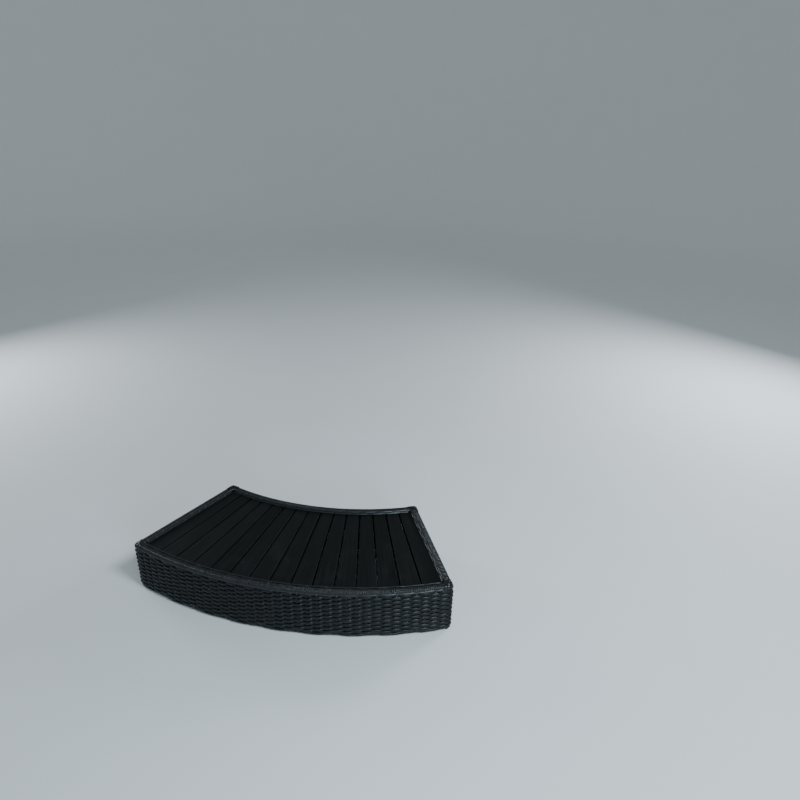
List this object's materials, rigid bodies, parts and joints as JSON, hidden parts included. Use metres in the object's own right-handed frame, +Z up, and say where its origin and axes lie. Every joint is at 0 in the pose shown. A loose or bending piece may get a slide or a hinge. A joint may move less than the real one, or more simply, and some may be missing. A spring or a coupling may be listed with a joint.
{
  "type": "spa step",
  "caption": "Low curved platform step for a round spa tub: ring-sector body with woven skin, bound rim and a fan of radial deck boards.",
  "frame": {"origin": "floor level, in the middle of the step's length and depth", "axes": "+X along the step's length to the right, +Y towards the tub that it hugs, +Z up"},
  "size_m": [1.2932, 0.626, 0.22],
  "materials": {
    "composite_board": "brushed black wood-plastic composite",
    "woven_strand": "satin black polyethylene strand",
    "coated_tube": "black powder coat",
    "zinc_steel": "zinc plated",
    "glide_plastic": "moulded, matt"
  },
  "bodies": {
    "frame": {"bearer_front": "coated_tube", "bearer_middle": "coated_tube", "bearer_rear": "coated_tube", "bottom_rail_front": "coated_tube", "bottom_rail_left": "coated_tube", "bottom_rail_rear": "coated_tube", "bottom_rail_right": "coated_tube", "corner_binding_front_left": "woven_strand", "corner_binding_front_right": "woven_strand", "corner_binding_rear_left": "woven_strand", "corner_binding_rear_right": "woven_strand", "corner_post_front_left": "coated_tube", "corner_post_front_right": "coated_tube", "corner_post_rear_left": "coated_tube", "corner_post_rear_right": "coated_tube", "deck_board_01": "composite_board", "deck_board_02": "composite_board", "deck_board_03": "composite_board", "deck_board_04": "composite_board", "deck_board_05": "composite_board", "deck_board_06": "composite_board", "deck_board_07": "composite_board", "deck_board_08": "composite_board", "deck_board_09": "composite_board", "deck_board_10": "composite_board", "deck_board_11": "composite_board", "deck_board_12": "composite_board", "deck_board_13": "composite_board", "deck_board_14": "composite_board", "deck_board_15": "composite_board", "deck_screws": "zinc_steel", "mid_post_front": "coated_tube", "mid_post_rear": "coated_tube", "rim_wrap_front": "woven_strand", "rim_wrap_left": "woven_strand", "rim_wrap_rear": "woven_strand", "rim_wrap_right": "woven_strand", "rivet_nuts": "zinc_steel", "side_bearer_left": "coated_tube", "side_bearer_right": "coated_tube", "top_rail_front": "coated_tube", "top_rail_left": "coated_tube", "top_rail_rear": "coated_tube", "top_rail_right": "coated_tube", "woven_panel_front": "woven_strand", "woven_panel_left": "woven_strand", "woven_panel_rear": "woven_strand", "woven_panel_right": "woven_strand"},
    "foot_front_left": {"foot_pad_front_left": "glide_plastic", "foot_stud_front_left": "zinc_steel"},
    "foot_front_mid": {"foot_pad_front_mid": "glide_plastic", "foot_stud_front_mid": "zinc_steel"},
    "foot_front_right": {"foot_pad_front_right": "glide_plastic", "foot_stud_front_right": "zinc_steel"},
    "foot_rear_left": {"foot_pad_rear_left": "glide_plastic", "foot_stud_rear_left": "zinc_steel"},
    "foot_rear_mid": {"foot_pad_rear_mid": "glide_plastic", "foot_stud_rear_mid": "zinc_steel"},
    "foot_rear_right": {"foot_pad_rear_right": "glide_plastic", "foot_stud_rear_right": "zinc_steel"}
  },
  "joints": [
    {"name": "foot_front_left_screw", "type": "slide", "parent": "frame", "child": "foot_front_left", "axis": [0, 0, -1], "range_m": [0, 0.01]},
    {"name": "foot_front_mid_screw", "type": "slide", "parent": "frame", "child": "foot_front_mid", "axis": [0, 0, -1], "range_m": [0, 0.01]},
    {"name": "foot_front_right_screw", "type": "slide", "parent": "frame", "child": "foot_front_right", "axis": [0, 0, -1], "range_m": [0, 0.01]},
    {"name": "foot_rear_left_screw", "type": "slide", "parent": "frame", "child": "foot_rear_left", "axis": [0, 0, -1], "range_m": [0, 0.01]},
    {"name": "foot_rear_mid_screw", "type": "slide", "parent": "frame", "child": "foot_rear_mid", "axis": [0, 0, -1], "range_m": [0, 0.01]},
    {"name": "foot_rear_right_screw", "type": "slide", "parent": "frame", "child": "foot_rear_right", "axis": [0, 0, -1], "range_m": [0, 0.01]}
  ]
}
